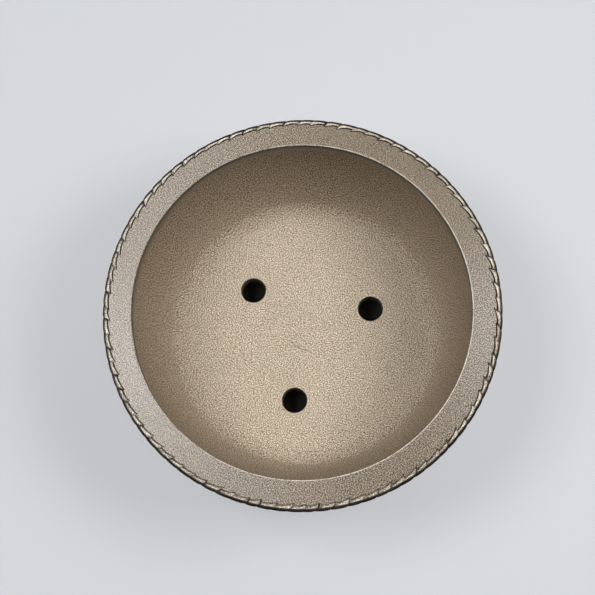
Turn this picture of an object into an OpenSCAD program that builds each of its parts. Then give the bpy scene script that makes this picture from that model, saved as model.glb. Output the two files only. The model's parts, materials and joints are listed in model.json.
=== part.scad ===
// Round bonsai pot in unglazed stoneware. A floor slab with drain holes carries a bowed wall, a
// clay coil is worked into the inside seam, a sloping lip caps the wall, a notched rope bead runs
// round the lip's edge, and three low feet stand under the floor. The pieces are luted together
// wet and fired as one, so each meets its neighbour face to face.
// The pot stands on z = 0 with its mouth up and its axis on Z. Lengths are in millimetres.

/* [Pot] */
// Widest diameter, over the rope bead
rim_d = 210; // [195:1:240]
// Height from the table to the top of the lip
pot_h = 88; // [70:1:130]
// Thickness of the wall
wall_t = 7; // [5:0.5:9]
// Inside diameter of the wall at the floor
floor_d = 148; // [125:1:165]
// Radius of the wall's outward bow, seen from the side
bow_r = 260; // [160:5:900]

/* [Lip] */
// Width of the lip's top, from the mouth to the rope bead
lip_w = 13.2; // [10:0.1:20]
// Thickness of the lip at the mouth
lip_t = 9; // [8:0.5:14]
// How far the lip's top falls from the mouth to its edge
lip_fall = 2.6; // [0.5:0.1:3.4]
// Radius that softens the lip's inner arris
arris_r = 0.7; // [0.5:0.1:2.5]
// How far the lip's underside rises from the wall to the edge
lip_rise = 0.6; // [0:0.1:1]

/* [Rope edge] */
// Thickness of the rope bead
rope_d = 4.2; // [3.4:0.1:5.4]
// How far the bead stands out past the lip's edge
rope_show = 2.8; // [2.2:0.1:4]
// How far the bead's crown lies below the lip's edge
rope_sink = 0.1; // [0:0.1:0.6]
// Number of slanted notches round the bead
rope_notches = 86; // [40:1:120]
// Depth of each notch
notch_depth = 0.9; // [0.3:0.1:1.4]
// Length of the slope that a strand rises on as it leaves a notch
notch_rise = 2; // [0.8:0.1:2.4]
// Length of the steep end where a strand drops into the next notch
notch_drop = 0.6; // [0.3:0.1:1]
// How far a notch runs round the pot in each quarter of the bead's section
notch_slant = 1.7; // [0:0.05:2.5]
// Slip between the bead and its seat in the lip
rope_slip = 0.15; // [0.05:0.05:0.3]

/* [Floor] */
// Thickness of the floor slab
floor_t = 8; // [7:0.5:12]
// Radius on the slab's lower outside edge
slab_round = 6; // [2:0.5:6]
// Radius of the clay coil in the inside seam
seam_r = 11; // [6:0.5:18]
// Thickness left at the coil's feathered edges
seam_feather = 0.4; // [0.2:0.1:1]
// Diameter of a drain hole
hole_d = 14; // [8:0.5:18]
// Diameter of the circle that the drain holes sit on
hole_circle_d = 79; // [60:1:90]
// Number of drain holes
hole_count = 3; // [1:1:5]
// Angle of the first drain hole, from +X
hole_turn = 30; // [0:1:120]

/* [Feet] */
// Height of a foot
foot_h = 10; // [5:0.5:16]
// Width of a foot, in and out from the axis
foot_w = 12; // [8:0.5:16]
// How far a foot stands in from the edge of the floor slab
foot_inset = 7.5; // [4:0.5:20]
// Angle that a foot spans between the centres of its round ends
foot_arc = 32; // [12:1:60]
// How far a foot narrows on each side, from top to bottom
foot_taper = 1.2; // [0:0.1:2]
// Radius on the bottom edge of a foot
foot_round = 1.5; // [0.5:0.1:2]

/* [Hidden] */
$fn = 96;

clay_inside = "#b8a993";
clay_lip = "#a09385";
clay_rope = "#8f867b";
clay_foot = "#a0927d";

// Heights of the joints, from the table up
floor_top_z = foot_h + floor_t;
lip_under_z = pot_h - lip_t;
lip_edge_z = pot_h - lip_fall;

// Radii that pieces share
rim_r = rim_d / 2;
lip_edge_r = rim_r - rope_show;
mouth_r = lip_edge_r - lip_w;

// Angles of the three feet, which stand midway between the holes of a three-hole pot
foot_step = 120;
back_turn = hole_turn + foot_step / 2;
left_turn = back_turn + foot_step;
right_turn = left_turn + foot_step;

// Straight steps in a round stretch of an outline, and in the wall's bow
round_steps = 12;
bow_steps = 20;

// Overshoot of a cut past the face that it leaves
cut = 1;

// Points of an arc about a centre, between two angles
function arc(centre, r, from, to) = [
    for (i = [0 : round_steps])
        let (a = from + (to - from) * i / round_steps)
        centre + r * [cos(a), sin(a)]
];

// The wall's inside runs from the floor to the lip along one circle, whose centre is found from
// the chord between those two points. The outside has the same centre.
wall_foot = [floor_d / 2, floor_top_z];
wall_head = [mouth_r, lip_under_z];
chord = wall_head - wall_foot;
chord_half = norm(chord) / 2;
chord_normal = [-chord.y, chord.x] / norm(chord);
bow_centre = (wall_foot + wall_head) / 2 + sqrt(bow_r ^ 2 - chord_half ^ 2) * chord_normal;

// The point at a height on a circle about the bow's centre
function bow_point(r, z) = [bow_centre.x + sqrt(r ^ 2 - (z - bow_centre.y) ^ 2), z];

// The stretch of that circle between the floor and the lip
function bow_curve(r) = [
    for (i = [0 : bow_steps])
        bow_point(r, floor_top_z + (lip_under_z - floor_top_z) * i / bow_steps)
];

inside_curve = bow_curve(bow_r);
outside_curve = bow_curve(bow_r + wall_t);
slab_r = outside_curve[0].x;
wall_head_r = outside_curve[bow_steps].x;
foot_circle_r = slab_r - foot_inset - foot_w / 2;

// The same points in the other order
function reversed(points) = [for (i = [len(points) - 1 : -1 : 0]) points[i]];

// The coil's hollow face is an arc that would just touch the floor and the wall, drawn in by the
// feathered edge
seam_centre = bow_point(bow_r - seam_r, floor_top_z + seam_r);
seam_way = (seam_centre - bow_centre) / norm(seam_centre - bow_centre);
seam_turn = atan2(seam_way.y, seam_way.x);
seam_head_z = seam_centre.y + seam_r * seam_way.y;
seam_head_r = lookup(seam_head_z, [for (p = inside_curve) [p.y, p.x]]);

// The bead's centre in its section, and the seat that it is pressed into
bead_r = rope_d / 2;
bead_centre = [rim_r - bead_r, lip_edge_z - rope_sink - bead_r];
seat_r = bead_r + rope_slip;
seat_turn = acos((lip_edge_r - bead_centre.x) / seat_r);

module floor_slab() {
    edge_centre = [slab_r - slab_round, foot_h + slab_round];
    color(clay_inside)
        difference() {
            rotate_extrude()
                polygon(concat(
                    [[0, floor_top_z], [0, foot_h]],
                    arc(edge_centre, slab_round, -90, 0),
                    [[slab_r, floor_top_z]]
                ));
            for (i = [0 : hole_count - 1])
                rotate(hole_turn + 360 * i / hole_count)
                    translate([hole_circle_d / 2, 0, foot_h - cut])
                        cylinder(d = hole_d, h = floor_t + 2 * cut);
        }
}

module seam_coil() {
    color(clay_inside)
        rotate_extrude()
            polygon(concat(
                [[seam_centre.x, floor_top_z]],
                [for (p = inside_curve) if (p.y < seam_head_z) p],
                [[seam_head_r, seam_head_z]],
                arc(seam_centre, seam_r - seam_feather, seam_turn, -90)
            ));
}

module wall() {
    color(clay_inside)
        rotate_extrude()
            polygon(concat(inside_curve, reversed(outside_curve)));
}

module lip() {
    arris_centre = [mouth_r + arris_r, pot_h - arris_r];
    top_slope = atan2(lip_fall, lip_edge_r - arris_centre.x);
    color(clay_lip)
        rotate_extrude()
            polygon(concat(
                [[mouth_r, lip_under_z]],
                arc(arris_centre, arris_r, 180, 90 - top_slope),
                [[lip_edge_r, lip_edge_z]],
                arc(bead_centre, seat_r, seat_turn, 360 - seat_turn),
                [[lip_edge_r, lip_under_z + lip_rise], [wall_head_r, lip_under_z]]
            ));
}

// The bead is swept round the pot as rings of points. Each strand of the rope has a narrow ring at
// the bottom of its notch, rises on a slope, swells to its full size and drops into the next notch.
bead_sides = 8;
notch_turn = 360 / rope_notches;
strand_l = 2 * PI * bead_centre.x / rope_notches;
shoulder_drop = notch_depth / 6;
strand_rings = [
    [0, bead_r - notch_depth],
    [notch_rise, bead_r - shoulder_drop],
    [(notch_rise + strand_l - notch_drop) / 2, bead_r],
    [strand_l - notch_drop, bead_r - shoulder_drop]
];

// How far a notch has run round the pot at an angle of the bead's section: it winds steadily from
// the inner side over the crown and down the outside, and comes back where the seat hides it
hidden_from = -90;
function notch_run(a) = a < hidden_from
    ? notch_slant * (1 - 3 * (a + 180) / 90)
    : notch_slant * (a - 90) / 90;

// One point of the bead, at an angle round the pot and an angle of the section
function bead_point(turn, r, a) =
    let (
        across = bead_centre.x + r * cos(a),
        run = turn + notch_run(a) / bead_centre.x * 180 / PI
    )
    [across * cos(run), across * sin(run), bead_centre.y + r * sin(a)];

module rope_edge() {
    points = [
        for (n = [0 : rope_notches - 1])
            for (ring = strand_rings)
                for (side = [0 : bead_sides - 1])
                    bead_point(
                        (n + ring[0] / strand_l) * notch_turn,
                        ring[1],
                        180 - 360 * side / bead_sides
                    )
    ];
    rings = rope_notches * len(strand_rings);
    function corner(ring, side) = (ring % rings) * bead_sides + side % bead_sides;
    faces = [
        for (ring = [0 : rings - 1])
            for (side = [0 : bead_sides - 1])
                let (
                    here = corner(ring, side),
                    there = corner(ring + 1, side),
                    here_next = corner(ring, side + 1),
                    there_next = corner(ring + 1, side + 1)
                )
                each [[here, there, there_next], [here, there_next, here_next]]
    ];
    color(clay_rope)
        polyhedron(points, faces, convexity = 10);
}

// Half of a foot's section, from its middle outwards
function foot_half() = concat(
    [[0, foot_h], [0, 0]],
    arc([foot_w / 2 - foot_taper - foot_round, foot_round], foot_round, -90, 0),
    [[foot_w / 2, foot_h]]
);

// A foot is a short stretch of ring with a round end at each side
module foot(turn) {
    color(clay_foot)
        rotate(turn) {
            rotate(-foot_arc / 2)
                rotate_extrude(angle = foot_arc)
                    translate([foot_circle_r, 0]) {
                        polygon(foot_half());
                        mirror([1, 0])
                            polygon(foot_half());
                    }
            for (end = [0, 1])
                rotate((end - 0.5) * foot_arc)
                    translate([foot_circle_r, 0, 0])
                        rotate(180 * (1 - end))
                            rotate_extrude(angle = 180)
                                polygon(foot_half());
        }
}

module foot_back() { foot(back_turn); }
module foot_left() { foot(left_turn); }
module foot_right() { foot(right_turn); }

floor_slab();
seam_coil();
wall();
lip();
rope_edge();
foot_back();
foot_left();
foot_right();
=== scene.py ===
# %% [markdown]
# # A round stoneware bonsai pot
# A potter builds this pot from sandy clay: a floor slab, a bowed wall, a coil worked into the
# inside seam, a sloping lip, a rope bead cut into strands and three low feet. The pieces are
# joined wet with slip and fired, so they read as one body. The solids of the frame hold the
# sizes. This lesson adds what they lack: soft edges, hand-cut strands and a sandy skin.

import json
import math
import random

import bmesh
import bpy
from mathutils import Matrix, Vector, noise
from mathutils.geometry import delaunay_2d_cdt


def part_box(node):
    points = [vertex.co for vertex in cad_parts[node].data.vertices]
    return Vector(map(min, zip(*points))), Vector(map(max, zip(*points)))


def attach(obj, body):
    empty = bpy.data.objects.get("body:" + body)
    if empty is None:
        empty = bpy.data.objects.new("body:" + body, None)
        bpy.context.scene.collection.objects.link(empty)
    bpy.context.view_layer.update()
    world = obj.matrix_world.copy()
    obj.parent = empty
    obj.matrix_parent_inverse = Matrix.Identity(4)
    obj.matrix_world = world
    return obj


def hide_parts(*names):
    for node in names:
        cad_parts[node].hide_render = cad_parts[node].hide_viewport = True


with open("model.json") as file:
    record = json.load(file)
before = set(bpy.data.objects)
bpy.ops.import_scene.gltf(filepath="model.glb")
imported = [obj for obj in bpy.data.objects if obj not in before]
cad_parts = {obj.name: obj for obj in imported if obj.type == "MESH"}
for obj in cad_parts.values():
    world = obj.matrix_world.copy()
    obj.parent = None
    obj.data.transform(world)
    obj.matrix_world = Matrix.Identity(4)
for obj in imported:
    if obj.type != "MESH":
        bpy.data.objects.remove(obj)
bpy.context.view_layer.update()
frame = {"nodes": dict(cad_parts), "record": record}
MM = 0.001
print("solids in the frame:", sorted(frame["nodes"]))

# %% [markdown]
# Each new piece stands where its solid stands, so its sizes are read from the solid rather than
# typed again. A turned solid is fully told by how far its points lie from the axis at each
# height, and two small helpers measure that.

# %% Measure the solids
SAME_LEVEL = 0.05 * MM
LEVEL_DIGITS = 5


def radii(node, z=None):
    """Smallest and largest distance from the pot's axis on a solid, in all or at one height."""
    points = [v.co for v in frame["nodes"][node].data.vertices]
    found = [math.hypot(p.x, p.y) for p in points if z is None or abs(p.z - z) < SAME_LEVEL]
    return min(found), max(found)


def levels(node):
    """The heights at which a turned solid has points, from the lowest up."""
    return sorted({round(v.co.z, LEVEL_DIGITS) for v in frame["nodes"][node].data.vertices})


floor_under_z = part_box("floor_slab")[0].z
floor_top_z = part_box("floor_slab")[1].z
lip_under_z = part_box("lip")[0].z
lip_top_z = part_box("lip")[1].z
mouth_r, lip_edge_r = radii("lip")
lip_edge_z = max(z for z in levels("lip") if abs(radii("lip", z)[1] - lip_edge_r) < SAME_LEVEL)
bead_r = (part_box("rope_edge")[1].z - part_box("rope_edge")[0].z) / 2
bead_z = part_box("rope_edge")[0].z + bead_r
rim_r = radii("rope_edge")[1]
bead_centre_r = rim_r - bead_r
print(f"mouth {mouth_r / MM:.1f}, lip edge {lip_edge_r / MM:.1f}, rim {rim_r / MM:.1f} mm from the axis")
print(f"floor at {floor_top_z / MM:.1f} mm, lip at {lip_top_z / MM:.1f} mm above the table")

# %% [markdown]
# The photograph looks into the mouth from a little off the axis. The camera's tilt, turn and
# roll below were fitted to three circles that a pot must have: its rim, its mouth and the ring
# of drain holes. The lens is given in pixels of the picture, which is the fitted quantity, and
# is turned into millimetres for Blender's 36 mm sensor.

# %% Camera
CAMERA_AZIMUTH = math.radians(20.8)
CAMERA_TILT = math.radians(12.5)
CAMERA_ROLL = math.radians(11.5)
CAMERA_AWAY = 672 * MM
CAMERA_ASIDE = (-0.8 * MM, 6.67 * MM)
PHOTO_SIDE_PX = 595
FOCAL_PX = 1284
SENSOR_MM = 36


def camera_axes():
    """Right, up and back of the camera in the pot's frame, before its roll."""
    lean = math.sin(CAMERA_TILT)
    right = Vector((math.cos(CAMERA_AZIMUTH), math.sin(CAMERA_AZIMUTH), 0))
    back = Vector((
        math.sin(CAMERA_AZIMUTH) * lean,
        -math.cos(CAMERA_AZIMUTH) * lean,
        math.cos(CAMERA_TILT),
    ))
    return right, back.cross(right), back


def show(made):
    """Put a new object into the scene."""
    bpy.context.scene.collection.objects.link(made)


right, up, back = camera_axes()
across = right * math.cos(CAMERA_ROLL) - up * math.sin(CAMERA_ROLL)
upward = right * math.sin(CAMERA_ROLL) + up * math.cos(CAMERA_ROLL)
place = Vector((0, 0, bead_z)) + right * CAMERA_ASIDE[0] + up * CAMERA_ASIDE[1] + back * CAMERA_AWAY
facing = Matrix((across, upward, back)).transposed().to_4x4()
camera = bpy.data.objects.new("camera", bpy.data.cameras.new("camera"))
camera.data.sensor_width = SENSOR_MM
camera.data.lens = FOCAL_PX / PHOTO_SIDE_PX * SENSOR_MM
camera.matrix_world = Matrix.Translation(place) @ facing
show(camera)
bpy.context.scene.camera = camera
print(f"lens {camera.data.lens:.1f} mm at {place.z / MM:.0f} mm above the table")

# %% [markdown]
# Fired clay is one material with many small voices: sand grains, soft mottling, a slow blush
# from the kiln and fine streaks where a wet finger ran round the pot. All of them are added up
# into a single tone value, and one colour ramp turns that tone into clay. Object coordinates
# carry the pattern across the joints, since every piece sits at the origin of the same frame.
# Building nodes by hand in code is wordy, so a few helpers come first.

# %% Helpers for shader nodes
def linear(red, green, blue):
    """A colour given as screen values from 0 to 255, as Blender's linear colour."""
    share = [c / 255 for c in (red, green, blue)]
    return (*[c / 12.92 if c <= 0.04045 else ((c + 0.055) / 1.055) ** 2.4 for c in share], 1)


def put(tree, kind, inputs=None, **settings):
    """Add a node, set its properties, and link or fill its inputs, which go by name or by number."""
    made = tree.nodes.new("ShaderNode" + kind)
    for name, value in settings.items():
        setattr(made, name, value)
    for key, value in (inputs or {}).items():
        if isinstance(value, bpy.types.NodeSocket):
            tree.links.new(value, made.inputs[key])
        else:
            made.inputs[key].default_value = value
    return made


def math_node(tree, operation, first, second=0.0, clamp=False):
    """The result of one sum on two values or sockets."""
    return put(tree, "Math", {0: first, 1: second}, operation=operation, use_clamp=clamp).outputs[0]


def fade(tree, value, start, end, low=0.0, high=1.0):
    """A value's way from start to end, mapped smoothly to low and high."""
    inputs = {"Value": value, "From Min": start, "From Max": end, "To Min": low, "To Max": high}
    return put(tree, "MapRange", inputs, interpolation_type="SMOOTHSTEP").outputs["Result"]


def mix_colour(tree, share, first, second, blend="MIX"):
    """The first colour giving way to the second by a share, or tinted by it."""
    inputs = {0: share, 6: first, 7: second}
    return put(tree, "Mix", inputs, data_type="RGBA", blend_type=blend).outputs[2]


print(f"a screen value of 128 is {linear(128, 128, 128)[0]:.3f} of full light")

# %% [markdown]
# Mottling and blush are the same thing at two scales: patches that took the fire a little
# differently. Noise makes both. Its middle value is taken off first, so a patch is as often
# darker as lighter and the clay keeps its overall tone.

# %% Mottling and blush
MIDDLE = 0.5
NOISE_ROUGH = 0.6
MOTTLE = {"scale": 130, "detail": 4, "weight": 0.08}
BLUSH = {"scale": 16, "detail": 2, "weight": 0.12}


def noise_share(tree, where, scale, detail, weight):
    """Noise about zero, scaled by its weight in the tone."""
    inputs = {"Vector": where, "Scale": scale, "Detail": detail, "Roughness": NOISE_ROUGH}
    value = put(tree, "TexNoise", inputs).outputs["Fac"]
    return math_node(tree, "MULTIPLY", math_node(tree, "SUBTRACT", value, MIDDLE), weight)


print(f"mottles {1 / MOTTLE['scale'] / MM:.0f} mm and blushes {1 / BLUSH['scale'] / MM:.0f} mm wide")

# %% [markdown]
# The streak pattern needs to run round the pot, so its coordinates are the angle, the distance
# from the axis and the height. The angle is scaled far down and the other two far up, which
# draws every blot of noise out into a long thin arc.

# %% Streaks
STREAK_PER_M = 900
STREAK_PER_TURN = 9
STREAK_DETAIL = 3


def streak_place(tree, where):
    """Coordinates that run round the pot."""
    parts = put(tree, "SeparateXYZ", {"Vector": where}).outputs
    turn = math_node(tree, "ARCTAN2", parts["Y"], parts["X"])
    flat = put(tree, "CombineXYZ", {"X": parts["X"], "Y": parts["Y"]}).outputs[0]
    reach = put(tree, "VectorMath", {0: flat}, operation="LENGTH").outputs["Value"]
    inputs = {
        "X": math_node(tree, "MULTIPLY", turn, STREAK_PER_TURN / math.tau),
        "Y": math_node(tree, "MULTIPLY", reach, STREAK_PER_M),
        "Z": math_node(tree, "MULTIPLY", parts["Z"], STREAK_PER_M),
    }
    return put(tree, "CombineXYZ", inputs).outputs[0]


print(f"streaks {1 / STREAK_PER_M / MM:.1f} mm wide, {STREAK_PER_TURN} to a turn")

# %% [markdown]
# Sand is what the eye meets first: pale grains that a sponge laid bare, and dark pits where
# grains fell out. A Voronoi texture gives the distance to the nearest of many strewn points.
# The distance to one set of points less the distance to another is high on a grain, low in a
# pit and nothing on average. A solid texture would be sliced into cells of all sizes, so the
# points lie on the skin: flat places are read from above, and standing ones are unrolled, with
# the grains drawn out upwards as they are where clay was pulled up.

# %% Sand
GRAIN_PER_M = 1880
GRAIN_SCATTER = 1.0
GRAIN_WEIGHT = 2.6
PIT_PLACE = (0.37, 0.61, 0)
STANDING_BELOW = 0.7
STANDING_DRAW = 0.55


def skin_place(tree, where):
    """Flat coordinates on the skin: seen from above where it lies flat, unrolled where it stands."""
    parts = put(tree, "SeparateXYZ", {"Vector": where}).outputs
    turn = math_node(tree, "ARCTAN2", parts["Y"], parts["X"])
    drawn = math_node(tree, "MULTIPLY", parts["Z"], STANDING_DRAW)
    unrolled = {"X": math_node(tree, "MULTIPLY", turn, mouth_r), "Y": drawn}
    normal = put(tree, "NewGeometry").outputs["True Normal"]
    upright = put(tree, "SeparateXYZ", {"Vector": normal}).outputs["Z"]
    standing = math_node(tree, "LESS_THAN", math_node(tree, "ABSOLUTE", upright), STANDING_BELOW)
    inputs = {0: standing, 4: where, 5: put(tree, "CombineXYZ", unrolled).outputs[0]}
    return put(tree, "Mix", inputs, data_type="VECTOR").outputs[1]


def sand(tree, where):
    """Grains of sand, pale in the middle, strewn among pits that are dark in the middle."""
    skin = skin_place(tree, where)
    shifted = put(tree, "VectorMath", {0: skin, 1: PIT_PLACE}, operation="ADD").outputs[0]
    far = []
    for here in (skin, shifted):
        inputs = {"Vector": here, "Scale": GRAIN_PER_M, "Randomness": GRAIN_SCATTER}
        far.append(put(tree, "TexVoronoi", inputs, voronoi_dimensions="2D").outputs["Distance"])
    return math_node(tree, "MULTIPLY", math_node(tree, "SUBTRACT", far[1], far[0]), GRAIN_WEIGHT)


print(f"a grain of sand every {1 / GRAIN_PER_M / MM:.2f} mm")

# %% [markdown]
# Two rarer marks break up the skin. Specks of iron burn out as small dark spots, and they are
# Voronoi cells of which only a few are let through by their random colour. On the floor, the
# edge of a trimming tool left one faint arc, which is a band about a circle, faded at its ends.
# It lies near the axis, where only the floor slab has any clay.

# %% Specks and the tool's arc
SPECK_PER_M = 240
SPECK_SHARE = 0.02
SPECK_SURE_SHARE = 0.01
SPECK_EDGE = 0.16
SPECK_CORE = 0.08
SPECK_DARK = 0.75
TOOL_CENTRE = (1.4 * MM, 3.6 * MM)
TOOL_R = 13.5 * MM
TOOL_HALF = 0.6 * MM
TOOL_TURNS = (math.radians(-146), math.radians(-72))
TOOL_FADE = 0.3
TOOL_DARK = 0.5


def specks(tree, where):
    """Rare small iron spots, as a share of darkness."""
    cells = put(tree, "TexVoronoi", {"Vector": where, "Scale": SPECK_PER_M})
    kind = put(tree, "SeparateColor", {"Color": cells.outputs["Color"]}).outputs["Red"]
    rare = fade(tree, kind, SPECK_SHARE, SPECK_SURE_SHARE)
    spot = fade(tree, cells.outputs["Distance"], SPECK_EDGE, SPECK_CORE, 0, SPECK_DARK)
    return math_node(tree, "MULTIPLY", rare, spot)


def tool_arc(tree, where):
    """A faint arc where a trimming tool touched the turning pot, as a share of darkness."""
    parts = put(tree, "SeparateXYZ", {"Vector": where}).outputs
    x = math_node(tree, "SUBTRACT", parts["X"], TOOL_CENTRE[0])
    y = math_node(tree, "SUBTRACT", parts["Y"], TOOL_CENTRE[1])
    squares = [math_node(tree, "MULTIPLY", side, side) for side in (x, y)]
    reach = math_node(tree, "SQRT", math_node(tree, "ADD", *squares))
    off = math_node(tree, "ABSOLUTE", math_node(tree, "SUBTRACT", reach, TOOL_R))
    line = fade(tree, off, TOOL_HALF, 0, 0, TOOL_DARK)
    turn = math_node(tree, "ARCTAN2", y, x)
    begun = fade(tree, turn, TOOL_TURNS[0], TOOL_TURNS[0] + TOOL_FADE)
    ended = fade(tree, turn, TOOL_TURNS[1], TOOL_TURNS[1] - TOOL_FADE)
    return math_node(tree, "MULTIPLY", line, math_node(tree, "MULTIPLY", begun, ended))


print(f"one cell in {1 / SPECK_SHARE:.0f} holds a speck, the arc has a radius of {TOOL_R / MM:.1f} mm")

# %% [markdown]
# The clay also reads four marks that a mesh carries on its points. One is wear with painted
# highlight: skin rubbed pale, and pale edges and pads painted where light would catch; it takes on
# grains before pits. One is painted shade: dark colour put into hollows, cuts and under edges, which
# is also fully rough. One is shade by height, a brown darkening put into the wall's colour as
# painted shade. Wiped is skin that a sponge went over, where the sand shows less. A mesh without a
# mark counts as zero.

# %% Colour of the clay
RUB_LIFT = 0.5
MARK_AND_SHADE_DARK = linear(20, 16, 12)
HEIGHT_SHADE_TINT = linear(137, 110, 74)
RUBBED_AND_HIGHLIT = linear(238, 228, 212)


def mark(tree, name):
    """A mark that a mesh carries on its points."""
    return put(tree, "Attribute", attribute_name=name).outputs["Fac"]


def clay_colour(tree, where, tone, dark, middle, light):
    """The tone as a colour of clay, then browned by height as painted shade, lightened by wear and painted
    highlight, speckled, scored and darkened with painted shade.
    """
    ramp = put(tree, "ValToRGB", {"Fac": tone})
    ramp.color_ramp.elements[0].color = dark
    ramp.color_ramp.elements[1].color = light
    ramp.color_ramp.elements.new(MIDDLE).color = middle
    lifted = math_node(tree, "ADD", tone, RUB_LIFT)
    # Rubbed is partly real wear and partly painted highlight.
    rubbed = math_node(tree, "MULTIPLY", mark(tree, "worn"), lifted, clamp=True)
    colour = mix_colour(tree, mark(tree, "flashed"), ramp.outputs["Color"], HEIGHT_SHADE_TINT, "MULTIPLY")
    colour = mix_colour(tree, rubbed, colour, RUBBED_AND_HIGHLIT)
    # The specks and the tool's arc are real marks; the last share is painted shade.
    for share in (specks(tree, where), tool_arc(tree, where), mark(tree, "sunk")):
        colour = mix_colour(tree, share, colour, MARK_AND_SHADE_DARK)
    return colour


# The darkest colour serves real specks, the tool's arc and painted shade; rubbed clay also serves painted
# highlight.
print(f"slip throws back {MARK_AND_SHADE_DARK[0]:.1%} of red light, and rubbed clay {RUBBED_AND_HIGHLIT[0]:.0%}")

# %% [markdown]
# One function mixes the whole clay. Grain and streaks also raise a slight bump, and mottling
# varies the roughness a little, so a patch catches light differently as well as having another
# colour. Shine and polish are the same all over a piece, so they are plain numbers on the
# shader. The inside is the palest and roughest clay of the pot.

# %% The clay
WIPED_EASE = 0.55
BUMP_HEIGHT = 0.12 * MM
POLISH_ROUGH = 0.36


def clay(name, dark, middle, light, streaks, relief, rough, shine, polish=0.0):
    """Unglazed sandy stoneware, which reads the marks of wear with painted highlight, painted shade, shade
    by height, and wiping.
    """
    material = bpy.data.materials.new(name)
    material.use_nodes = True
    tree = material.node_tree
    tree.nodes.clear()
    where = put(tree, "TexCoord").outputs["Object"]
    eased = math_node(tree, "MULTIPLY", mark(tree, "wiped"), WIPED_EASE)
    grain = math_node(tree, "MULTIPLY", sand(tree, where), math_node(tree, "SUBTRACT", 1.0, eased))
    mottle = noise_share(tree, where, **MOTTLE)
    blush = noise_share(tree, where, **BLUSH)
    streak = noise_share(tree, streak_place(tree, where), 1, STREAK_DETAIL, streaks)
    tone = MIDDLE
    for part in (grain, mottle, blush, streak):
        tone = math_node(tree, "ADD", part, tone)
    height = math_node(tree, "ADD", streak, grain)
    bump = put(tree, "Bump", {"Height": height, "Distance": BUMP_HEIGHT, "Strength": relief})
    smear = math_node(tree, "ADD", mottle, rough, clamp=True)
    inputs = {
        "Base Color": clay_colour(tree, where, tone, dark, middle, light),
        "Roughness": math_node(tree, "MAXIMUM", smear, mark(tree, "sunk")),
        "Normal": bump.outputs[0],
        "Specular IOR Level": shine,
        "Coat Weight": polish,
        "Coat Roughness": POLISH_ROUGH,
    }
    shader = put(tree, "BsdfPrincipled", inputs)
    put(tree, "OutputMaterial", {"Surface": shader.outputs[0]})
    print("clay", name, "with", len(tree.nodes), "nodes")
    return material


inside_clay = clay(
    "inside_clay",
    dark=linear(92, 77, 54),
    middle=linear(178, 163, 141),
    light=linear(244, 230, 208),
    streaks=0.08,
    relief=0.4,
    rough=0.85,
    shine=0.15,
)

# %% [markdown]
# The same clay comes out of the kiln differently from place to place. The lip met the flame and
# was smoothed with a rib, so it is darker and has a soft sheen, which a thin coat layer gives.
# The rope is between the two. The feet are painted shade: the inside clay made a little darker, as it looks
# in shade.

# %% Clay of the lip, rope and feet
lip_clay = clay(
    "lip_clay",
    dark=linear(38, 28, 15),
    middle=linear(92, 77, 57),
    light=linear(172, 156, 132),
    streaks=0.08,
    relief=0.15,
    rough=0.4,
    shine=0.5,
    polish=0.2,
)
rope_clay = clay(
    "rope_clay",
    dark=linear(72, 60, 44),
    middle=linear(132, 117, 97),
    light=linear(206, 193, 175),
    streaks=0.1,
    relief=0.2,
    rough=0.5,
    shine=0.12,
)
# Painted shade: the feet take the inside clay's colour as it looks in shade.
foot_clay = clay(
    "foot_clay",
    dark=linear(104, 90, 70),
    middle=linear(160, 146, 125),
    light=linear(212, 197, 177),
    streaks=0.12,
    relief=0.5,
    rough=0.78,
    shine=0.4,
)

# %% [markdown]
# Nothing built by hand is quite true. One slow, smooth field of noise nudges every point of
# every piece by a fraction of a millimetre. Because neighbours read the same field, their
# joints stay closed. It fades out at the table so that the feet stand flat, and a slight
# shrinking first, as clay shrinks in the kiln, keeps the nudged pot inside the solids' box.

# %% The hand's wander
WANDER = 0.2 * MM
WANDER_PER_M = 17
WANDER_SEED = 3
STEADY_Z = 12 * MM
SHRINK = 0.0024
noise.seed_set(WANDER_SEED)


def held(value):
    """A value held between 0 and 1."""
    return min(1, max(0, value))


def by_hand(point):
    """A point as a hand-built pot would have it."""
    place = Vector(point) * (1 - SHRINK)
    steady = held(place.z / STEADY_Z)
    return place + noise.noise_vector(place * WANDER_PER_M) * WANDER * steady


def turned(r, turn, z):
    """The point at a distance from the axis, an angle round the pot and a height."""
    return Vector((r * math.cos(turn), r * math.sin(turn), z))


rim_point = turned(rim_r, 0, bead_z)
print(f"one point of the rim moves by {(by_hand(rim_point) - rim_point).length / MM:.2f} mm")

# %% [markdown]
# Most pieces are rings, so a section's rows of points carried round the pot give the mesh, and
# quads join each row to the next. Making a piece then always takes the same steps: the hand's
# wander, the marks, a weld of doubled points, outward normals, smooth shading with real corners
# kept, and the three calls that tie it to the frame. Counting the edges that lack a neighbour
# shows at once whether a mesh is closed.

# %% Helpers for the meshes
SHARP_ANGLE = math.radians(55)
WELD = 1e-6


def ring_faces(rows, columns):
    """Quads of a ring whose rows close round its section and columns close round the pot."""
    return [
        (
            row * columns + column,
            row * columns + (column + 1) % columns,
            (row + 1) % rows * columns + (column + 1) % columns,
            (row + 1) % rows * columns + column,
        )
        for row in range(rows)
        for column in range(columns)
    ]


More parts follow.
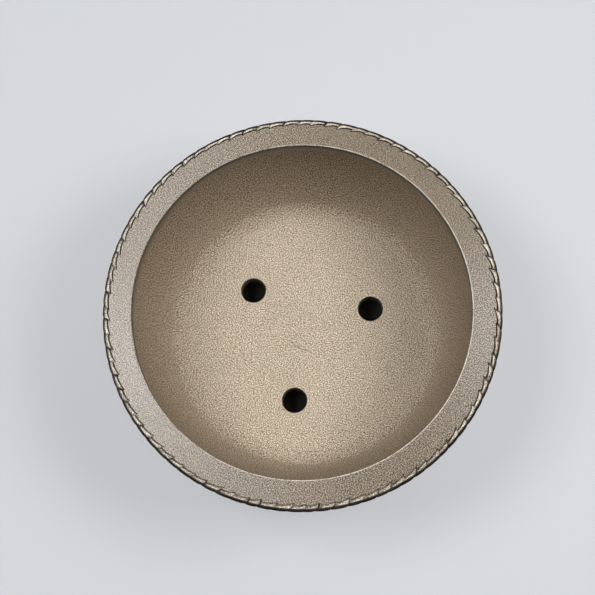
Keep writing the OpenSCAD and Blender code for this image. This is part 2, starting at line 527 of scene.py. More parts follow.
def make_piece(name, points, faces, node, slot, material, **marks):
    """A smooth closed mesh that stands for one solid and rides on the pot."""
    mesh = bpy.data.meshes.new(name)
    mesh.from_pydata([by_hand(p) for p in points], [], faces)
    for key, values in marks.items():
        mesh.attributes.new(key, "FLOAT", "POINT").data.foreach_set("value", values)
    skin = bmesh.new()
    skin.from_mesh(mesh)
    bmesh.ops.remove_doubles(skin, verts=skin.verts, dist=WELD)
    bmesh.ops.recalc_face_normals(skin, faces=skin.faces)
    open_edges = sum(not e.is_manifold for e in skin.edges)
    skin.to_mesh(mesh)
    skin.free()
    mesh.shade_smooth()
    mesh.set_sharp_from_angle(angle=SHARP_ANGLE)
    mesh.materials.append(material)
    made = bpy.data.objects.new(name, mesh)
    show(made)
    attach(made, "root")
    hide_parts(node)
    print(f"{name}: {len(mesh.vertices)} points, {len(mesh.polygons)} faces, {open_edges} open edges")


def lathe(section, columns):
    """Points of a closed section turned about the axis, row by row."""
    return [turned(r, math.tau * c / columns, z) for r, z in section for c in range(columns)]


def arc(centre, radius, start, end, steps):
    """Points of a round stretch in a section, between two angles in degrees."""
    turns = [math.radians(start + (end - start) * i / steps) for i in range(steps + 1)]
    return [(centre[0] + radius * math.cos(a), centre[1] + radius * math.sin(a)) for a in turns]


print(f"edges sharper than {math.degrees(SHARP_ANGLE):.0f} degrees stay crisp")

# %% [markdown]
# The wall is a bowed ring. Its inside and outside follow the solid's own curves. At the top the
# outside flares a little into a cove, where the potter smears clay up under the lip to lock the
# joint. A lathe of that section is all it needs.

# %% Section of the wall
WALL_COLUMNS = 240
COVE = 2.2 * MM
COVE_DEPTH = 6 * MM
COVE_CURVE = 2.4
COVE_STEPS = (0.3, 0.55, 0.75, 0.9)
wall_inside = [(radii("wall", z)[0], z) for z in levels("wall")]
wall_outside = [(radii("wall", z)[1], z) for z in levels("wall")]


def coved(r, z):
    """A point of the wall's outside, with the cove under the lip."""
    up_share = max(0, 1 - (lip_under_z - z) / COVE_DEPTH)
    return r + COVE * up_share ** COVE_CURVE, z


outside = [coved(r, z) for r, z in wall_outside]
top_r, top_z = wall_outside[-1]
last_r, last_z = wall_outside[-2]
cove_heights = [last_z + (top_z - last_z) * share for share in COVE_STEPS]
cove_rows = [coved(last_r + (top_r - last_r) * (z - last_z) / (top_z - last_z), z) for z in cove_heights]
wall_section = wall_inside + [outside[-1]] + cove_rows[::-1] + outside[-2::-1]
print(f"{len(wall_section)} rows, {len(wall_inside)} of them inside")

# %% [markdown]
# Inside, the wall is darkened and browned more the higher it reaches, and the floor is left pale.
# This is painted shade, the shade of the pot's hollow, put into the colour with a mark by height,
# and it darkens the outside wall in the same way. The outside was wiped down before firing and
# carries the mark wiped instead of the inside's raw sand.

# %% Wall
HEIGHT_SHADE_MOST = 0.58
HEIGHT_SHADE_CURVE = 0.38


def flash(z):
    """How far painted shade darkens and browns the clay at a height: not on the floor, and most under the
    lip.
    """
    share = (z - floor_top_z) / (lip_under_z - floor_top_z)
    return HEIGHT_SHADE_MOST * max(0, share) ** HEIGHT_SHADE_CURVE


wall_points = lathe(wall_section, WALL_COLUMNS)
outside_rows = len(wall_section) - len(wall_inside)
make_piece(
    "clay_wall",
    wall_points,
    ring_faces(len(wall_section), WALL_COLUMNS),
    "wall",
    "inside_clay",
    inside_clay,
    # Painted shade by height, inside and out.
    flashed=[flash(p.z) for p in wall_points],
    wiped=[0] * len(wall_inside) * WALL_COLUMNS + [1] * outside_rows * WALL_COLUMNS,
)

# %% [markdown]
# A thin coil of clay is pressed into the corner between floor and wall and wiped hollow with a
# finger, so no soil lodges there and the seam can't crack. Its face is an arc that just touches
# both neighbours, which is why the inside of the pot shows no line there.

# %% Seam coil
FEATHER = 0.03 * MM
SEAM_STEPS = 24
seam_foot_r = radii("seam_coil", floor_top_z)[0]
seam_head_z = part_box("seam_coil")[1].z
seam_run = radii("seam_coil", seam_head_z)[1] - seam_foot_r
seam_rise = seam_head_z - floor_top_z
solid_feather = levels("seam_coil")[1] - floor_top_z
seam_r = (seam_run ** 2 + seam_rise ** 2 - solid_feather ** 2) / (2 * (seam_rise - solid_feather))
seam_centre = (seam_foot_r, floor_top_z + seam_r)
seam_end = math.degrees(math.atan2(seam_head_z - seam_centre[1], seam_run))
hollow_face = arc(seam_centre, seam_r - FEATHER, seam_end, -90, SEAM_STEPS)
behind = [(r, z) for r, z in wall_inside if z < hollow_face[0][1]]
seam_section = [(seam_foot_r, floor_top_z)] + behind + hollow_face
seam_points = lathe(seam_section, WALL_COLUMNS)
print(f"coil's hollow has a radius of {seam_r / MM:.1f} mm")
make_piece(
    "clay_seam",
    seam_points,
    ring_faces(len(seam_section), WALL_COLUMNS),
    "seam_coil",
    "inside_clay",
    inside_clay,
    # The coil takes the same painted shade by height as the wall.
    flashed=[flash(p.z) for p in seam_points],
)

# %% [markdown]
# The floor is a slab with three drain holes, punched through and wiped soft at the edge. A
# boolean would cut them, but it leaves long thin faces. Here the slab's top is triangulated
# round the holes in one go. Rings of points, no closer to the rims than a third of a step, keep
# the triangles even.

# %% Net of the floor slab
SLAB_COLUMNS = 160
HOLE_COLUMNS = 48
HOLE_SOFT = 0.4 * MM
HOLE_RIM = 0.6 * MM
HOLE_OPEN = HOLE_SOFT * 0.9
NET_STEP = 6 * MM
NET_CLEAR = NET_STEP / 3
NET_LEAST = 8
NET_WELD = 1e-7
drains = [
    (*m["pos_m"][:2], m["dims"]["r_mm"] * MM)
    for m in frame["record"]["mounts"]
    if m["kind"] == "bore"
]
slab_top_r = radii("floor_slab", floor_top_z)[1]
slab_foot_r = radii("floor_slab", floor_under_z)[1]


def circle_points(x, y, radius, count):
    """Points of a circle on the flat."""
    turns = [math.tau * i / count for i in range(count)]
    return [Vector((x + radius * math.cos(a), y + radius * math.sin(a))) for a in turns]


def slab_net(radius):
    """Flat points and triangles of a disc with the drain holes left open, and the loop of each hole."""
    points = circle_points(0, 0, radius, SLAB_COLUMNS)
    loops = []
    for x, y, bore in drains:
        loops.append(list(range(len(points), len(points) + HOLE_COLUMNS)))
        points += circle_points(x, y, bore + HOLE_SOFT, HOLE_COLUMNS)
        points += circle_points(x, y, bore + HOLE_SOFT + HOLE_RIM, HOLE_COLUMNS)
    rims = list(points)
    for ring in range(1, int(radius / NET_STEP)):
        count = max(NET_LEAST, int(math.tau * ring))
        for p in circle_points(0, 0, ring * NET_STEP, count):
            if min((p - q).length for q in rims) > NET_CLEAR:
                points.append(p)
    triangles = delaunay_2d_cdt(points, [], [], 0, NET_WELD)[2]

    def clay_there(triangle):
        middle = sum((points[i] for i in triangle), Vector((0, 0))) / 3
        return all((middle - Vector((x, y))).length >= bore + HOLE_OPEN for x, y, bore in drains)

    return points, [t for t in triangles if clay_there(t)], loops


net, net_triangles, hole_loops = slab_net(slab_foot_r)
print(f"{len(drains)} drain holes in a net of {len(net)} points and {len(net_triangles)} triangles")

# %% [markdown]
# The underside is a mirror of the top. Each hole gets a ring of wall with rounded lips between
# the two, and the slab's edge carries on the wall's lean and curls under, along a curve with one
# control point at the corner.

# %% Mesh of the floor slab
HOLE_STEPS = 5
SLAB_CORNER = 0.5 * MM
SLAB_EDGE_STEPS = 10


def slab_edge():
    """The slab's outside from the top to the foot, carrying on the wall's lean and turning under."""
    lean = (wall_outside[1][0] - wall_outside[0][0]) / (wall_outside[1][1] - wall_outside[0][1])
    start = Vector((slab_top_r, floor_top_z))
    corner = Vector((slab_top_r - lean * (floor_top_z - floor_under_z), floor_under_z + SLAB_CORNER))
    end = Vector((slab_foot_r, floor_under_z))
    steps = [i / SLAB_EDGE_STEPS for i in range(SLAB_EDGE_STEPS)]
    return [tuple(start * (1 - s) ** 2 + corner * 2 * s * (1 - s) + end * s ** 2) for s in steps]


def hole_wall(bore):
    """A hole's wall from top to foot as (radius, height), with both lips rounded."""
    top = arc((bore + HOLE_SOFT, floor_top_z - HOLE_SOFT), HOLE_SOFT, 90, 180, HOLE_STEPS)
    foot = arc((bore + HOLE_SOFT, floor_under_z + HOLE_SOFT), HOLE_SOFT, 180, 270, HOLE_STEPS)
    return top[1:] + foot[:-1]


def slab_mesh():
    """The slab's top, edge, underside and hole walls as points and faces."""
    points = [(p.x, p.y, floor_top_z) for p in net] + [(p.x, p.y, floor_under_z) for p in net]
    faces = [tuple(t) for t in net_triangles]
    faces += [tuple(len(net) + i for i in t[::-1]) for t in net_triangles]

    def strip(first, second):
        count = len(first)
        faces.extend(
            (first[i], first[(i + 1) % count], second[(i + 1) % count], second[i]) for i in range(count)
        )

    def skirt(x, y, loop, rows):
        above = loop
        for radius, z in rows:
            below = list(range(len(points), len(points) + len(loop)))
            points.extend((p.x, p.y, z) for p in circle_points(x, y, radius, len(loop)))
            strip(above, below)
            above = below
        strip(above, [len(net) + i for i in loop])

    for (x, y, bore), loop in zip(drains, hole_loops):
        skirt(x, y, loop, hole_wall(bore))
    skirt(0, 0, list(range(SLAB_COLUMNS)), slab_edge())
    return points, faces


slab_points, slab_faces = slab_mesh()
print(f"the slab's radius is {slab_foot_r / MM:.1f} mm below and {slab_top_r / MM:.1f} mm above")

# %% [markdown]
# The marks finish the holes: painted shade on their walls, and a faint pale ring round each rim,
# which is painted highlight with a little wear. The outside and the underside count as wiped, like
# the wall above them.

# %% Floor slab
HOLE_SHADE_REACH = HOLE_SOFT * 0.7
HOLE_SHADE = 0.85
HOLE_RIM_HIGHLIGHT = 0.35


def slab_marks(point):
    """The painted shade, the wear with painted highlight, and the wiping at a point of the slab."""
    x, y, z = point
    past_bore = min(math.hypot(x - hole_x, y - hole_y) - bore for hole_x, hole_y, bore in drains)
    # Painted shade on the hole walls, and a ring of painted highlight with wear round each rim.
    sunk = HOLE_SHADE if past_bore < HOLE_SHADE_REACH else 0
    worn = HOLE_RIM_HIGHLIGHT if HOLE_SHADE_REACH <= past_bore < HOLE_SOFT + HOLE_RIM / 2 else 0
    wiped = 1 if math.hypot(x, y) > slab_foot_r or z < floor_top_z - HOLE_SOFT else 0
    return sunk, worn, wiped


slab_sunk, slab_worn, slab_wiped = zip(*[slab_marks(p) for p in slab_points])
make_piece(
    "clay_floor",
    slab_points,
    slab_faces,
    "floor_slab",
    "inside_clay",
    inside_clay,
    sunk=slab_sunk,
    worn=slab_worn,
    wiped=slab_wiped,
)

# %% [markdown]
# The rope is one bead of clay round the lip's edge, cut into strands with slanting strokes of a
# knife. A hand never makes the same cut twice, so each gets its own place, depth and slant, and
# the strand after it its own sag, push into the lip, wear with painted highlight, and strength of
# painted shade. A spread is a share of the usual value, or of a strand's length for its place,
# and sag is in millimetres. A seeded random source gives the same rope on every run.

# %% Cuts of the rope
STRANDS = 86
CUT_SLANT = 0.58
CUT_DEPTH = 1.25 * MM
STRAND_PUSH = 1.65 * MM
PAD_HIGHLIGHT = 0.8
CUT_SPREAD = {
    "turn": (-0.1, 0.1),
    "depth": (0.5, 1.25),
    "slant": (0.6, 1.4),
    "sag": (0, 0.2),
    "push": (0.6, 1.3),
    "wear_highlight": (0.2, 1.8),
    "shade_strength": (0.92, 1),
}
CHANCE_SEED = 86
chance = random.Random(CHANCE_SEED)


def hand_cut(n):
    """One cut, and the strand after it, as uneven as a hand makes them."""
    uneven = {key: chance.uniform(*spread) for key, spread in CUT_SPREAD.items()}
    return {
        "turn": math.tau * (n + uneven["turn"]) / STRANDS,
        "depth": CUT_DEPTH * uneven["depth"],
        "slant": CUT_SLANT * uneven["slant"],
        "sag": uneven["sag"] * MM,
        "push": STRAND_PUSH * uneven["push"],
        "wear_highlight": PAD_HIGHLIGHT * uneven["wear_highlight"],
        "shade_strength": uneven["shade_strength"],
    }


cuts = [hand_cut(n) for n in range(STRANDS)]
print(f"{STRANDS} strands of about {math.tau * bead_centre_r / STRANDS / MM:.1f} mm")

# %% [markdown]
# Each strand comes up narrow and low out of one cut, widens until it pushes into the lip, and
# drops steeply into the next cut, as if it tucked under its neighbour. The mesh is laid out
# along the cuts: its columns lean with the slant, so every cut falls on a line of points and
# stays crisp without a dense grid. A column is a strand's number and a share of its length.

# %% Along a strand
CUT_RISE = 0.16
CUT_DROP = 0.09
STRAND_START = 0.6 * MM
STRAND_HOOK = 0.4 * MM
PUSH_CURVE = 2.2
STRAND_STEPS = (0, 0.03, 0.07, 0.13, 0.21, 0.32, 0.45, 0.58, 0.7, 0.8, 0.88, 0.935, 0.97, 0.988)
columns = [(n, step) for n in range(STRANDS) for step in STRAND_STEPS]


def between(column, key):
    """A cut's value, passing to the next cut's along the strand."""
    n, step = column
    return cuts[n][key] * (1 - step) + cuts[(n + 1) % STRANDS][key] * step


def column_turn(column, outward):
    """The angle round the pot of a column, at a length measured outwards over the bead from its crown."""
    n, step = column
    start = cuts[n]["turn"]
    end = cuts[(n + 1) % STRANDS]["turn"] + (math.tau if n == STRANDS - 1 else 0)
    return start + (end - start) * step - between(column, "slant") * outward / bead_centre_r


def cut_depth(column):
    """How deep in a cut a column lies: deep at both ends of a strand, hardly at all between."""
    n, step = column
    leaving = cuts[n]["depth"] * math.exp(-step / CUT_RISE)
    entering = cuts[(n + 1) % STRANDS]["depth"] * math.exp(-(1 - step) / CUT_DROP)
    return max(leaving, entering)


def inner_edge(column):
    """Distance from the axis of a strand's inner edge, which pushes into the lip towards its end."""
    n, step = column
    hook = STRAND_HOOK * math.exp(-step / CUT_RISE)
    return bead_centre_r - STRAND_START - hook - cuts[n]["push"] * step ** PUSH_CURVE


print(f"{len(columns)} columns, {len(STRAND_STEPS)} to a strand")

# %% [markdown]
# Painted shade darkens the cuts, the crevice beside the lip and the flank, and the mark painted
# shade carries it. It isn't even. On one side the crevice's painted shade is lighter and the pads'
# painted highlight dimmer. On the flank the painted shade climbs higher at that side and the one
# opposite, and lower between them.

# %% Painted shade on the rope
PALE_CREVICE_SIDE = math.radians(-80)
CREVICE_SHADE_EASE = 0.85
FLANK_SHADE_TOP = 73
FLANK_SHADE_SWAY = 16
FLANK_SHADE_FADE = 18
FLANK_SHADE_FOOT = -35
FLANK_SHADE_LEAST = 0.15


def pale_crevice_share(column):
    """How far a column lies on the side where the crevice's painted shade is lighter."""
    return (0.5 + 0.5 * math.cos(column_turn(column, 0) - PALE_CREVICE_SIDE)) ** 2


def crevice_shade(column):
    """How dark the painted shade in the crevice is."""
    return 1 - CREVICE_SHADE_EASE * pale_crevice_share(column)


def shade_limit(column):
    """The angle of the bead's section up to which painted shade lies on the flank."""
    return FLANK_SHADE_TOP + FLANK_SHADE_SWAY * math.cos(column_turn(column, 0) - PALE_CREVICE_SIDE) ** 2


def flank_shade(angle, most, top):
    """Painted shade lies thick on the upper flank, where the crown's wear and painted highlight end, and
    thins out below.
    """
    below = held((angle - FLANK_SHADE_FOOT) / -FLANK_SHADE_FOOT)
    above = held((top - angle) / FLANK_SHADE_FADE)
    return (FLANK_SHADE_LEAST + (most - FLANK_SHADE_LEAST) * below) * above


shade_limits = [shade_limit(column) for column in columns]
# How high the painted shade reaches on the flank.
print(f"slip climbs to between {min(shade_limits):.0f} and {max(shade_limits):.0f} degrees of the bead's section")

# %% [markdown]
# The lip's top is a plain slope from its soft inner arris down to the rope. Strands and lip have
# to meet on that slope, so it is measured from the solid once, for both.

# %% Slope of the lip
STRAIGHT = 0.002 * MM
arris_z = max(z for z in levels("lip") if radii("lip", z)[0] - mouth_r < STRAIGHT)
arris_r = lip_top_z - arris_z
arris_centre = (mouth_r + arris_r, arris_z)
lip_slope = (lip_top_z - lip_edge_z) / (lip_edge_r - arris_centre[0])


def lip_height(r):
    """Height of the lip's sloping top at a distance from the axis."""
    return lip_top_z - (r - arris_centre[0]) * lip_slope


print(f"arris radius {arris_r / MM:.2f} mm, slope {math.degrees(math.atan(lip_slope)):.1f} degrees")

# %% [markdown]
# Across a strand the section has three parts. A narrow crevice divides it from the lip, a small
# pad on top catches the light, and the flank turns down and under the rim. Each part gives rows
# of points with their painted shade and their wear with painted highlight, and the rows also say
# how far outwards over the bead they lie, because that sets how far they lean with the cut.
# Crevice and pad come first.

# %% Crevice and pad of a strand
CREVICE_HALF = 0.36 * MM
CREVICE_DEPTH = 0.9 * MM
LEDGE_FALL = 0.4 * MM
SHOULDER = 0.24 * MM
SHOULDER_FALL = 0.12 * MM
SHOULDER_SHADE = 0.4
SHOULDER_HIGHLIGHT = 0.1
PAD_REACH = 0.35 * MM
PAD_END_R = bead_centre_r + PAD_REACH
PAD_LEAST = 0.1 * MM
PAD_FALL = 0.06 * MM
PAD_STEPS = (0, 0.33, 0.67, 1)
PAD_HIGHLIGHT_DULL = 0.45


def crevice_rows(column, edge, crown, cut, dark):
    """Rows from inside the lip's seat through the crevice to the strand's shoulder."""
    deep = lip_height(edge) - CREVICE_DEPTH - cut
    outward = edge - bead_centre_r
    # The hidden seat and the crevice carry painted shade, and the shoulder some painted shade and painted
    # highlight.
    shade_strength = crevice_shade(column)
    pad_r = edge + CREVICE_HALF + SHOULDER
    shoulder_shade = max(dark, SHOULDER_SHADE * shade_strength)
    return [
        (bead_centre_r - bead_r, bead_z, 0, 1, 0),
        (edge - CREVICE_HALF, deep, outward, shade_strength, 0),
        (edge, deep, outward, shade_strength, 0),
        (edge + CREVICE_HALF, crown - LEDGE_FALL, outward, shade_strength, 0),
        (pad_r - SHOULDER / 2, crown - SHOULDER_FALL, pad_r - bead_centre_r, shoulder_shade, SHOULDER_HIGHLIGHT),
    ]


def pad_rows(column, edge, crown, dark):
    """Rows across the pad on top of the strand, pale with wear and painted highlight."""
    start = edge + CREVICE_HALF + SHOULDER
    run = max(PAD_END_R, start + PAD_LEAST) - start
    # The pad's pale tone is wear and painted highlight, dimmer on the side where the crevice's painted
    # shade is lighter.
    wear_highlight = between(column, "wear_highlight") * (1 - PAD_HIGHLIGHT_DULL * pale_crevice_share(column))
    rows = []
    for share in PAD_STEPS:
        r = start + run * share
        rows.append((r, crown - PAD_FALL * share, r - bead_centre_r, dark, wear_highlight))
    return rows


pad_gap = rim_r - PAD_END_R
print(f"crevice {2 * CREVICE_HALF / MM:.2f} mm wide, pad ends {pad_gap / MM:.2f} mm from the rim")

# %% [markdown]
# The flank is a stretch of the bead's round section, read at a list of angles: 90 is the crown, 0
# the rim and -90 the underside. Where a cut passes, the section is drawn in. The cuts run out
# under the rim, where nobody reaches with the knife.

# %% Flank of a strand
CROWN_ANGLE = 90
FLANK_ANGLES = (76, 61, 46, 31, 15, 0, -17, -35, -54, -74, -96, -122, -150)
FLANK_CUT = 0.3
UNDER_ANGLE = -10
UNDER_CUT = 0.6
CUTS_END_ANGLE = -125


def flank_rows(column, cut, dark):
    """Rows from the pad down the flank and round under the rim, where the cuts run out."""
    shade_strength = between(column, "shade_strength")
    top = shade_limit(column)
    rows = []
    for angle in FLANK_ANGLES:
        a = math.radians(angle)
        cut_share = max(FLANK_CUT, angle / CROWN_ANGLE) if angle > UNDER_ANGLE else UNDER_CUT
        reached = angle > CUTS_END_ANGLE
        radius = bead_r - (cut * cut_share if reached else 0)
        outward = bead_r * math.radians(CROWN_ANGLE - angle) if reached else 0
        r = bead_centre_r + radius * math.cos(a)
        z = bead_z + radius * math.sin(a)
        # The flank's darkness is painted shade.
        rows.append((r, z, outward, max(dark, flank_shade(angle, shade_strength, top)), 0))
    return rows


print(f"{len(FLANK_ANGLES)} rows down the flank of a bead {2 * bead_r / MM:.1f} mm thick")

# %% [markdown]
# A strand's crown follows the lip's slope, never stands much above the bead, sags a little and
# dips into the cuts. With that, the three parts join into one section for each column, and a
# sweep carries the sections round the pot. The lip uses the same sweep afterwards.

# %% Rope bead
CROWN_RISE = 0.12 * MM
CUT_SHADE_CURVE = 1.3


def strand_section(column):
    """Points across a strand as (distance, height, length outwards, painted shade, wear and painted
    highlight), from the lip out.
    """
    cut = cut_depth(column)
    # The cuts are darkened with painted shade.
    dark = min(1, cut / CUT_DEPTH) ** CUT_SHADE_CURVE
    edge = inner_edge(column)
    crown = min(lip_height(edge), bead_z + bead_r + CROWN_RISE) - between(column, "sag") - cut
    crevice = crevice_rows(column, edge, crown, cut, dark)
    return crevice + pad_rows(column, edge, crown, dark) + flank_rows(column, cut, dark)


def sweep(section_of):
    """Points, faces and marks of a section that changes from column to column."""
    sections = [section_of(column) for column in columns]
    points = []
    marks = {"sunk": [], "worn": []}
    for row in range(len(sections[0])):
        for column, section in zip(columns, sections):
            r, z, outward, dark, wear_highlight = section[row]
            points.append(turned(r, column_turn(column, outward), z))
            marks["sunk"].append(dark)
            marks["worn"].append(wear_highlight)
    return points, ring_faces(len(sections[0]), len(columns)), marks


rope_points, rope_faces, rope_marks = sweep(strand_section)
make_piece("clay_rope", rope_points, rope_faces, "rope_edge", "rope_clay", rope_clay, **rope_marks)

# %% [markdown]
# The lip is a smooth sloping ring with a soft inner arris. A pale line on the arris is painted
# highlight, stronger on one side and in patches. Just below the arris the inner face is darkened
# with painted shade, which sets off the pale line.

# %% Inner face and arris of the lip
FACE_STEPS = (0, 0.4, 0.7, 0.9)
FACE_SHADE = 0.2
UNDER_ARRIS_SHADE = 0.9
ARRIS_STEPS = 8
ARRIS_SHADE_ROWS = 2
ARRIS_HIGHLIGHT_ROWS = range(4, 7)
ARRIS_HIGHLIGHT = 0.95
HIGHLIGHT_SIDE = math.radians(-20)
HIGHLIGHT_EVEN = 0.55
HIGHLIGHT_SWING = 0.45
PATCH_PER_M = 150


def face_rows():
    """Rows up the lip's inner face, with painted shade darkest just under the arris."""
    rise = arris_centre[1] - lip_under_z
    step_dark = UNDER_ARRIS_SHADE - FACE_SHADE
    return [(mouth_r, lip_under_z + rise * s, FACE_SHADE + step_dark * s ** 2, 0) for s in FACE_STEPS]


def arris_highlight(column):
    """How much painted highlight the arris carries: more on one side, and in patches."""
    turn = column_turn(column, 0)
    patch = 1 + noise.noise(turned(mouth_r, turn, 0) * PATCH_PER_M)
    return min(1, ARRIS_HIGHLIGHT * (HIGHLIGHT_EVEN + HIGHLIGHT_SWING * math.cos(turn - HIGHLIGHT_SIDE)) * patch)


def arris_rows(column):
    """Rows over the arris, from the inner face to the slope."""
    slope_end = 90 - math.degrees(math.atan(lip_slope))
    wear_highlight = arris_highlight(column)
    rows = []
    for i, (r, z) in enumerate(arc(arris_centre, arris_r, 180, slope_end, ARRIS_STEPS)):
        # The first rows carry painted shade, the middle rows painted highlight.
        dark = UNDER_ARRIS_SHADE if i < ARRIS_SHADE_ROWS else 0
        rows.append((r, z, dark, wear_highlight if i in ARRIS_HIGHLIGHT_ROWS else 0))
    return rows


# The pale arris line is painted highlight.
arris_highlights = [arris_highlight(column) for column in columns]
print(f"the arris is rubbed pale by {min(arris_highlights):.2f} to {max(arris_highlights):.2f}")

# %% [markdown]
# The lip's outer border is no plain circle: it follows the strands' inner edges like the teeth
# of a saw. The lip shares the rope's slanting columns, so the teeth and the strands fit together.
# Below the border the lip drops into the crevice and goes back under the bead to a round nose.

# %% Lip
PUSH_ROOM = 1.4
PLAIN_END_R = bead_centre_r - STRAND_START - PUSH_ROOM * STRAND_PUSH
PLAIN_STEPS = (0.2, 0.4, 0.6, 0.8, 1)
TOOTH_STEPS = (0.3, 0.55, 0.75, 0.88, 0.96)
BORDER_FALLS_MM = ((0, 0.05, 0.4), (0.07, 0.22, 1), (0.1, 0.6, 1), (0.1, 1.2, 1))
SEAT_BACK = 0.3 * MM
LIP_RISE = 0.6 * MM
NOSE_R = 0.8 * MM
NOSE_STEPS = 4
LIP_WIPED = 0.4


def top_rows(border):
    """Rows down the lip's slope, plain at first and then out to the toothed border."""
    plain = [arris_centre[0] + (PLAIN_END_R - arris_centre[0]) * s for s in PLAIN_STEPS]
    tooth = [PLAIN_END_R + (border - PLAIN_END_R) * s for s in TOOTH_STEPS]
    return [(r, lip_height(r), 0, 0) for r in plain + tooth]


def border_rows(column, border):
    """Rows from the border into the crevice. Each fall is a way out, a way down and a painted shade."""
    shade_strength = crevice_shade(column)
    top = lip_height(border)
    return [(border + out * MM, top - fall * MM, dark * shade_strength, 0) for out, fall, dark in BORDER_FALLS_MM]


def under_rows():
    """Rows behind the bead, round the nose and back to the wall."""
    # The seat hidden behind the bead carries full painted shade.
    seat = [(bead_centre_r - bead_r, bead_z, 1, 0), (lip_edge_r - SEAT_BACK, bead_z - bead_r, 1, 0)]
    nose_centre = (lip_edge_r - NOSE_R, lip_under_z + LIP_RISE + NOSE_R)
    nose = [(r, z, 0, 0) for r, z in arc(nose_centre, NOSE_R, 0, -90, NOSE_STEPS)]
    return seat + nose + [(wall_outside[-1][0] + COVE, lip_under_z, 0, 0)]


def lip_section(column):
    """The lip's section as (distance, height, length outwards, painted shade, wear and painted highlight),
    from the mouth round.
    """
    border = inner_edge(column) - CREVICE_HALF
    rows = face_rows() + arris_rows(column) + top_rows(border) + border_rows(column, border) + under_rows()
    return [(r, z, max(r, PLAIN_END_R) - bead_centre_r, dark, wear_highlight) for r, z, dark, wear_highlight in rows]


lip_points, lip_faces, lip_marks = sweep(lip_section)
lip_marks["wiped"] = [LIP_WIPED] * len(lip_points)
make_piece("clay_lip", lip_points, lip_faces, "lip", "lip_clay", lip_clay, **lip_marks)

# %% [markdown]
# The feet hold the floor off the bench so that the holes can drain. Each is a short bent roll
# of clay, flattened below and smeared into the slab above. The outline is a slot bent round the
# axis. Drawing that slot at several half widths, from nothing through the full width and back,
# wraps the whole foot in quads.

# %% Outline and rows of a foot
FOOT_STEPS = 18
FOOT_END_STEPS = 10
FOOT_TAPER = 1.2 * MM
FOOT_SOFT = 2.2 * MM
SOLE_STEPS = (0, 0.5)
SOLE_EDGE_STEPS = 6
SIDE_TUCK = 0.5 * MM
SIDE_HEIGHT = 0.55
FOOT_SMEAR = 1.3 * MM
SMEAR_STEPS = (0.4, 0.75, 1)


def foot_outline(spine_r, middle, half_span, half_width):
    """The slot's loop: out along the far side, round one end, back and round the other end."""
    loop = []
    for side, start in ((1, -1), (-1, 1)):
        for i in range(FOOT_STEPS):
            turn = middle + half_span * start * (1 - 2 * i / FOOT_STEPS)
            loop.append(turned(spine_r + side * half_width, turn, 0))
        end_turn = middle - half_span * start
        end = turned(spine_r, end_turn, 0)
        for i in range(FOOT_END_STEPS):
            swing = end_turn + (0 if side > 0 else math.pi) + math.pi * i / FOOT_END_STEPS
            loop.append(end + Vector((half_width * math.cos(swing), half_width * math.sin(swing), 0)))
    return loop


def foot_rows(half_width, height):
    """Half width and height of each loop, from the middle of the sole to the middle of the top."""
    sole_half = half_width - FOOT_TAPER
    sole = [(sole_half * s, 0) for s in SOLE_STEPS]
    edge = arc((sole_half - FOOT_SOFT, FOOT_SOFT), FOOT_SOFT, -90, 0, SOLE_EDGE_STEPS)
    side = [(half_width - SIDE_TUCK, height * SIDE_HEIGHT), (half_width, height - FOOT_SMEAR)]
    smear = [(half_width + FOOT_SMEAR * s ** 2, height - FOOT_SMEAR * (1 - s)) for s in SMEAR_STEPS]
    return sole + edge + side + smear + [(0, height)]


print(f"{2 * (FOOT_STEPS + FOOT_END_STEPS)} points round a foot")

# %% [markdown]
# A foot's place, width and span are measured on its solid. The span is the widest angle that its
# points reach, less the round end, and one function makes all three feet.

# %% Feet
def make_foot(node):
    """One foot, measured from its solid."""
    inner, outer = radii(node, floor_under_z)
    corner_low, corner_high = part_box(node)
    centre = (corner_low + corner_high) / 2
    middle = math.atan2(centre.y, centre.x)
    half_width = (outer - inner) / 2
    spine_r = (outer + inner) / 2
    turns = [math.atan2(v.co.y, v.co.x) for v in frame["nodes"][node].data.vertices]
    swing = max(abs((turn - middle + math.pi) % math.tau - math.pi) for turn in turns)
    half_span = swing - math.asin(half_width / spine_r)
    rows = foot_rows(half_width, floor_under_z)
    points = []
    for width, z in rows:
        points += [p + Vector((0, 0, z)) for p in foot_outline(spine_r, middle, half_span, width)]
    count = 2 * (FOOT_STEPS + FOOT_END_STEPS)
    faces = ring_faces(len(rows), count)[: (len(rows) - 1) * count]
    make_piece("clay_" + node, points, faces, node, "foot_clay", foot_clay, wiped=[1] * len(points))


for node in ("foot_back", "foot_left", "foot_right"):
    make_foot(node)

# %% [markdown]
# The stage is a plain pale table, wide enough to fill every view. Its paint fades into an even
# pale glow away from the pot, but for the camera and for gloss only: light that bounces off the
# table sees plain paint, so the glow never lights the pot, and the pot's shadow stays.

# %% Paint of the stage
PAINT_ROUGH = 0.9
PAINT_SHINE = 0.2
PAINT = linear(219, 220, 224)
PALE = linear(212, 214, 218)
NEAR_SHARE = 0.55
NEAR_M = 0.35
FAR_M = 1.1


def plain(name, colour):
    """A matt material of one colour."""
    material = bpy.data.materials.new(name)
    material.use_nodes = True
    shader = material.node_tree.nodes["Principled BSDF"]
    shader.inputs["Base Color"].default_value = colour
    shader.inputs["Roughness"].default_value = PAINT_ROUGH
    shader.inputs["Specular IOR Level"].default_value = PAINT_SHINE
    return material


def seen_directly(tree):
    """One for what the camera sees, straight or in gloss and glass, and nothing for light that bounces."""
    path = put(tree, "LightPath").outputs
    seen = math_node(tree, "ADD", path["Is Camera Ray"], path["Is Glossy Ray"])
    return math_node(tree, "ADD", seen, path["Is Transmission Ray"], clamp=True)


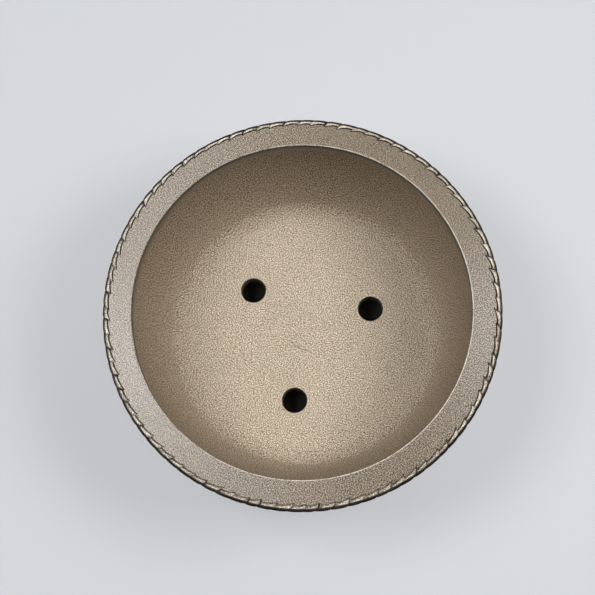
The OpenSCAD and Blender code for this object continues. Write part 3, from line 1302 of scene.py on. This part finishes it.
def pale_paint():
    """Matt paint that fades into an even pale tone away from the pot, where it is seen directly."""
    material = plain("table_paint", PAINT)
    tree = material.node_tree
    where = put(tree, "TexCoord").outputs["Object"]
    away = put(tree, "VectorMath", {0: where}, operation="LENGTH").outputs["Value"]
    far_share = fade(tree, away, NEAR_M, FAR_M, NEAR_SHARE, 1)
    share = math_node(tree, "MULTIPLY", seen_directly(tree), far_share)
    glow = put(tree, "Emission", {"Color": PALE}).outputs[0]
    paint = tree.nodes["Principled BSDF"].outputs[0]
    mixed = put(tree, "MixShader", {0: share, 1: paint, 2: glow}).outputs[0]
    tree.links.new(mixed, tree.nodes["Material Output"].inputs["Surface"])
    return material


print(f"the paint glows by {NEAR_SHARE:.0%} up to {NEAR_M} m away and wholly from {FAR_M} m")

# %% [markdown]
# A small dark disc on the table is painted shade: it stands for the shade under the pot, so that
# nothing pale lies behind the drain holes and they read as black discs. It lies between the feet,
# well inside the pot's outline, and only a low view shows its edge.

# %% Table and disc of painted shade
TABLE_HALF = 4.0
DISC_R = 56 * MM
DISC_HIGH = 0.5 * MM
DISC_COLUMNS = 96
SHADE_DISC_TONE = linear(34, 32, 29)


def stage_piece(name, corners, material):
    """One flat face of the stage, which is no part of the pot."""
    mesh = bpy.data.meshes.new(name)
    mesh.from_pydata(corners, [], [tuple(range(len(corners)))])
    mesh.materials.append(material)
    made = bpy.data.objects.new(name, mesh)
    show(made)


table_corners = [(x * TABLE_HALF, y * TABLE_HALF, 0) for x, y in ((-1, -1), (1, -1), (1, 1), (-1, 1))]
disc_corners = [turned(DISC_R, math.tau * i / DISC_COLUMNS, DISC_HIGH) for i in range(DISC_COLUMNS)]
stage_piece("table", table_corners, pale_paint())
stage_piece("shade_disc", disc_corners, plain("painted_shade_disc", SHADE_DISC_TONE))
# The dark disc is painted shade.
print(f"table {2 * TABLE_HALF:.0f} m wide, felt mat {2 * DISC_R / MM:.0f} mm across")

# %% [markdown]
# Soft boxes stand round the pot, about a metre away. A photographer would shade matt clay with
# lamps and shape the sheen on the lip with white cards. The same split is made here: a lamp is
# hidden from glossy rays and a card from diffuse ones, so either can change without the other.
# The cards are a touch cool, like daylight in a room. Each box has its direction round the pot
# and its height in degrees, its side in metres and its power in watts.

# %% Light
LAMP_AWAY = 1.1
LAMP_TINT = (1, 1, 1)
CARD_TINT = (0.97, 1.0, 1.07)
LAMPS = {
    "lamp_right": (12, 51, 0.45, 8.4),
    "lamp_left": (184, 63, 0.45, 7.4),
    "lamp_back": (60, 51, 0.45, 1.2),
}
CARDS = {
    "card_left": (192, 54, 0.55, 10.2),
    "card_back": (138, 50, 0.7, 6.9),
    "card_right": (20, 51, 0.45, 5.7),
    "card_front": (255, 56, 0.7, 4.1),
}


def soft_box(name, azimuth, elevation, side, power, sheen):
    """A square lamp that faces the pot. It lights matt clay, or shows in the sheen alone as a card does."""
    lamp = bpy.data.lights.new(name, "AREA")
    lamp.size = side
    lamp.energy = power
    lamp.color = CARD_TINT if sheen else LAMP_TINT
    made = bpy.data.objects.new(name, lamp)
    made.visible_diffuse = not sheen
    made.visible_glossy = sheen
    a = math.radians(azimuth)
    e = math.radians(elevation)
    way = Vector((math.cos(a) * math.cos(e), math.sin(a) * math.cos(e), math.sin(e)))
    made.location = way * LAMP_AWAY + Vector((0, 0, lip_top_z))
    made.rotation_euler = way.to_track_quat("Z", "Y").to_euler()
    show(made)


for name, settings in LAMPS.items():
    soft_box(name, *settings, sheen=False)
for name, settings in CARDS.items():
    soft_box(name, *settings, sheen=True)
print(len(LAMPS), "lamps and", len(CARDS), "cards")

# %% [markdown]
# The room is an even pale world. What the camera sees of it is the table's pale tone, so no
# horizon shows, while only a faint share of it lights the pot and fills the shadows. The view
# transform is Standard, which shows a colour as it is written.

# %% Room
ROOM_FILL = 0.03
world = bpy.data.worlds.new("room")
world.use_nodes = True
background = world.node_tree.nodes["Background"]
background.inputs["Color"].default_value = PALE
room_light = fade(world.node_tree, seen_directly(world.node_tree), 0, 1, ROOM_FILL, 1)
world.node_tree.links.new(room_light, background.inputs["Strength"])
bpy.context.scene.world = world
bpy.context.scene.view_settings.view_transform = "Standard"
print(f"the room lights the pot with {ROOM_FILL:.0%} of what the camera sees")
